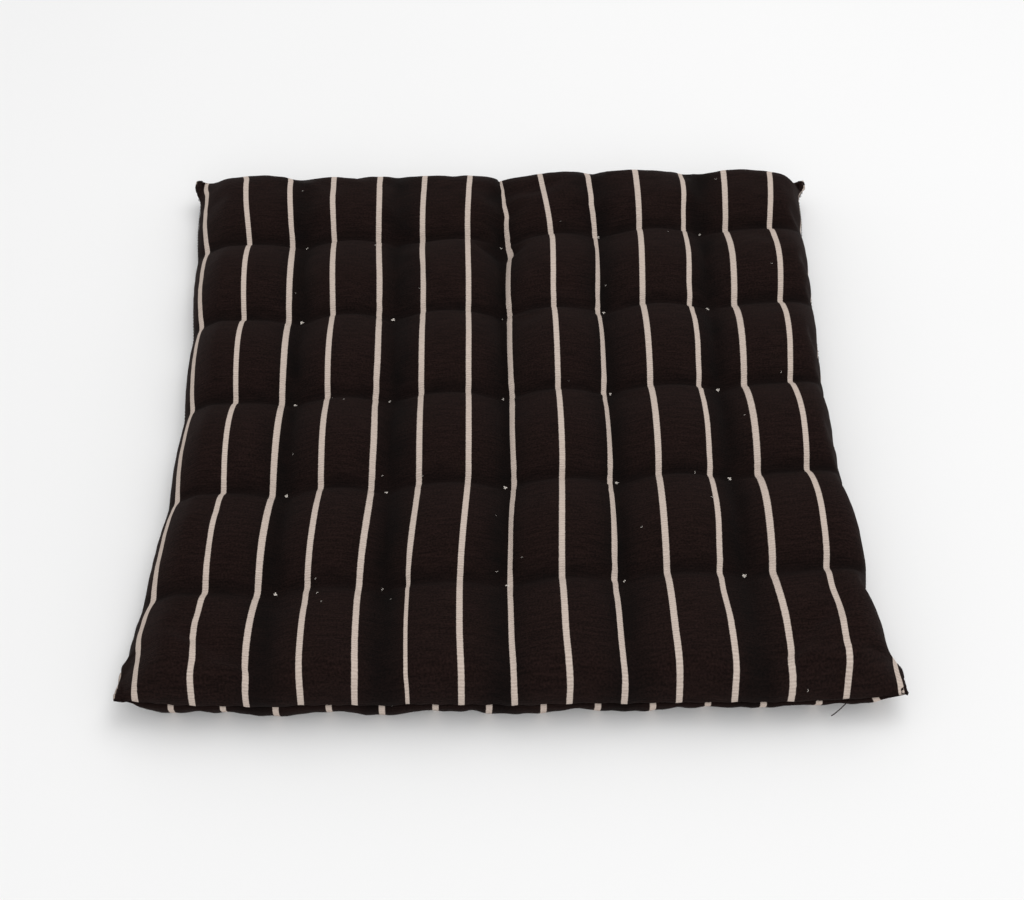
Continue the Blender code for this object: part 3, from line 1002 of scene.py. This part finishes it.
# %% Tie pieces
TIE_RADIUS = 0.34 * MM
KNOT_SIZE = 0.37 * MM
TAIL_RADIUS = 0.22 * MM


def knot_path(steps=30):
    t = np.arange(steps) / steps * 2 * np.pi
    wide = 2 + np.cos(3 * t)
    return KNOT_SIZE * np.stack([wide * np.cos(2 * t), wide * np.sin(2 * t), 1.3 * np.sin(3 * t)], -1)


def tail_path(length, turn, curl):
    t = np.linspace(0, 1, 7)
    bend = turn + curl * t
    return np.stack([length * t * np.cos(bend), length * t * np.sin(bend), 1.0 * MM * np.sin(np.pi * t)], -1)


def joined(name, meshes):
    """One mesh object out of several helper meshes."""
    points, faces, start = [], [], 0
    for mesh in meshes:
        points += [tuple(v.co) for v in mesh.vertices]
        faces += [[start + v for v in p.vertices] for p in mesh.polygons]
        start += len(mesh.vertices)
    return plain_mesh(name, points, faces=faces)


knot_mesh = joined("knot", [tube("loop", knot_path(), TIE_RADIUS, closed=True),
                            tube("tail", tail_path(2.0 * MM, 0.3, 0.9), TAIL_RADIUS, 5),
                            tube("tail", tail_path(1.5 * MM, 2.6, -0.7), TAIL_RADIUS, 5)])
knot = link_object("knot", knot_mesh)

# %% Tie tree
def tie_tree():
    tree, given, result, shape = geometry_group(
        "Knotted ties", [("Thread Radius", "Float", 0.0004), ("Smallest", "Float", 0.8), ("Seed", "Int", 1)])
    line = add(tree, "GeometryNodeMeshToCurve", {"Mesh": given["Geometry"]}).outputs["Curve"]
    round_wire = {"Resolution": 6, "Radius": given["Thread Radius"]}
    profile = add(tree, "GeometryNodeCurvePrimitiveCircle", round_wire).outputs["Curve"]
    sockets = {"Curve": line, "Profile Curve": profile, "Fill Caps": True}
    thread = add(tree, "GeometryNodeCurveToMesh", sockets).outputs["Mesh"]
    knots = copies(tree, given, shape, given["Geometry"], random_turn(tree, given, (0.3, 0.3, ANY_TURN)))
    both = add(tree, "GeometryNodeJoinGeometry")
    for part in (thread, knots):
        tree.links.new(part, both.inputs["Geometry"])
    return finish_group(tree, given, result, both.outputs["Geometry"])


knot_ends = []
for i in tuft_across:
    for j in tuft_along:
        knot_ends += [settled_under[i, j] - (0, 0, 0.2 * MM), settled_top[i, j] + (0, 0, 1.0 * MM)]
tie_edges = [(2 * n, 2 * n + 1) for n in range(len(knot_ends) // 2)]
tuft_ties = grown("tuft_ties", tie_tree(), plain_mesh("tie_lines", knot_ends, tie_edges),
                  shape=knot, material=tie_thread, thread_radius=TIE_RADIUS, smallest=0.75, seed=4)
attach(tuft_ties, "root")
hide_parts(*tie_names)
print("tuft_ties faces", len(tuft_ties.data.polygons))

# %% [markdown]
# ## Stitches
# The seam is sewn from the inside, so only specks of its thread show in the groove. The last stretch on one
# side was closed by hand from the outside after filling, with small slanting stitches that cross the
# groove.

# %% Stitch pieces
def stitch_path(length, hump):
    t = np.linspace(-1, 1, 7)
    return np.stack([length / 2 * t, -hump * (1 - t * t), 0 * t], -1)


SEAM_STITCH = 2.6 * MM
HAND_STITCH = 2.4 * MM
HAND_PITCH = 5.5 * MM
STITCH_RADIUS = 0.2 * MM
seam_tube = tube("seam_stitch", stitch_path(SEAM_STITCH * 0.8, 0.2 * MM), STITCH_RADIUS, 5)
hand_tube = tube("hand_stitch", stitch_path(HAND_STITCH, 0.3 * MM), STITCH_RADIUS, 5)
seam_stitch = link_object("seam_stitch", seam_tube)
hand_stitch = link_object("hand_stitch", hand_tube)


def stitch_tree():
    tree, given, result, shape = geometry_group(
        "Stitches on a seam", [("Pitch", "Float", 0.003), ("Lean", "Float", 0.0),
                               ("Smallest", "Float", 0.9), ("Seed", "Int", 1)])
    line = add(tree, "GeometryNodeMeshToCurve", {"Mesh": given["Geometry"]}).outputs["Curve"]
    marks = add(tree, "GeometryNodeResampleCurve", {"Curve": line, "Length": given["Pitch"]}, mode="LENGTH")
    tangent = add(tree, "GeometryNodeInputTangent").outputs["Tangent"]
    aim = add(tree, "FunctionNodeAlignEulerToVector", {"Vector": tangent}, axis="X", pivot_axis="Z")
    lean = add(tree, "ShaderNodeCombineXYZ", {"Y": given["Lean"]}).outputs[0]
    leaning = turned(tree, aim.outputs["Rotation"], lean)
    return finish_group(tree, given, result, copies(tree, given, shape, marks.outputs["Curve"], leaning))


stitches = stitch_tree()

# %% Seams
STITCH_INSET = 1.6 * MM
EAR_INSET = 1.8 * MM
CLOSING_INSET = 1.4 * MM
closing_low, closing_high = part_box("closing_seam_thread")


def seam_line():
    """The seam round the pad, a little inside the fold of the cloth."""
    line = around(settled_top)
    inward = -np.sign(line[:, :2]) * (np.abs(line[:, :2]) > half_side - 16 * MM)
    line[:, :2] += (STITCH_INSET + EAR_INSET * around(ear))[:, None] * inward
    return line


seam_points = seam_line()
ring = [(n, (n + 1) % len(seam_points)) for n in range(len(seam_points))]
perimeter = grown("perimeter_stitches", stitches, plain_mesh("seam_line", seam_points, ring),
                  shape=seam_stitch, material=seam_thread, pitch=SEAM_STITCH, lean=0.0, smallest=0.9, seed=2)
side_edge = settled_top[-1]
between = (side_edge[:, 1] > closing_low[1]) & (side_edge[:, 1] < closing_high[1])
closed_by_hand = between & (ear[-1] < 0.01)
closing_part = side_edge[closed_by_hand] - (CLOSING_INSET, 0, 0)
closing_edges = [(n, n + 1) for n in range(len(closing_part) - 1)]
closing = grown("closing_stitches", stitches, plain_mesh("closing_line", closing_part, closing_edges),
                shape=hand_stitch, material=seam_thread, pitch=HAND_PITCH, lean=0.9, smallest=0.8, seed=3)
for piece, node in ((perimeter, "perimeter_seam_thread"), (closing, "closing_seam_thread")):
    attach(piece, "root")
    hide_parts(node)
    print(piece.name, "faces", len(piece.data.polygons))

# %% [markdown]
# The machine started near one front corner, and its loose thread end was never trimmed. It sticks out of
# the seam and droops a little, so it is one thin tube along a short arc.

# %% Loose thread end
LOOSE_LENGTH = 8.5 * MM
LOOSE_OUT = 5.5 * MM
LOOSE_DROP = 5 * MM
LOOSE_START = 0.845
start_column = int(np.abs(across_lines - LOOSE_START * half_side).argmin())
loose_start = settled_top[start_column, 0] + (0, 2 * MM, 0)
run = np.linspace(0, 1, 12)
loose_curve = np.stack([-LOOSE_LENGTH * run, -LOOSE_OUT * np.sin(1.3 * run), -LOOSE_DROP * run ** 1.5], -1)
loose_end = link_object("loose_thread_end", tube("loose_thread_end", loose_start + loose_curve, 0.3 * MM))
loose_end.data.materials.append(seam_thread)
loose_end.data.shade_smooth()
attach(loose_end, "root")

# %% [markdown]
# ## Lint
# Dark cotton picks up pale fibres. A few dozen short, bent hairs scattered over the top with a fixed seed
# are enough: each is a tiny tube lying on the cloth.

# %% Lint
fibre_curl = np.linspace(0, 1, 6)
fibre_path = np.stack(
    [1.6 * MM * fibre_curl, 0.7 * MM * np.sin(3 * fibre_curl), np.full(6, 0.15 * MM)], -1)
hair = link_object("hair", tube("hair", fibre_path, 0.11 * MM, 4))


def lint_tree():
    tree, given, result, shape = geometry_group(
        "Scattered lint", [("Density", "Float", 200.0), ("Smallest", "Float", 0.4), ("Seed", "Int", 1)])
    sockets = {"Mesh": given["Geometry"], "Density": given["Density"], "Seed": given["Seed"]}
    spots = add(tree, "GeometryNodeDistributePointsOnFaces", sockets).outputs
    spun = turned(tree, spots["Rotation"], random_turn(tree, given, (0.0, 0.0, ANY_TURN)))
    return finish_group(tree, given, result, copies(tree, given, shape, spots["Points"], spun))


lint = grown("lint", lint_tree(), top_panel.data.copy(),
             shape=hair, material=tie_thread, density=190.0, smallest=0.35, seed=5)
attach(lint, "root")
print("lint faces", len(lint.data.polygons))

# %% [markdown]
# ## Helpers
# The small shapes that the trees copied are helpers and go.

# %% Tidy up and finish
for helper in (knot, seam_stitch, hand_stitch, hair):
    bpy.data.objects.remove(helper)
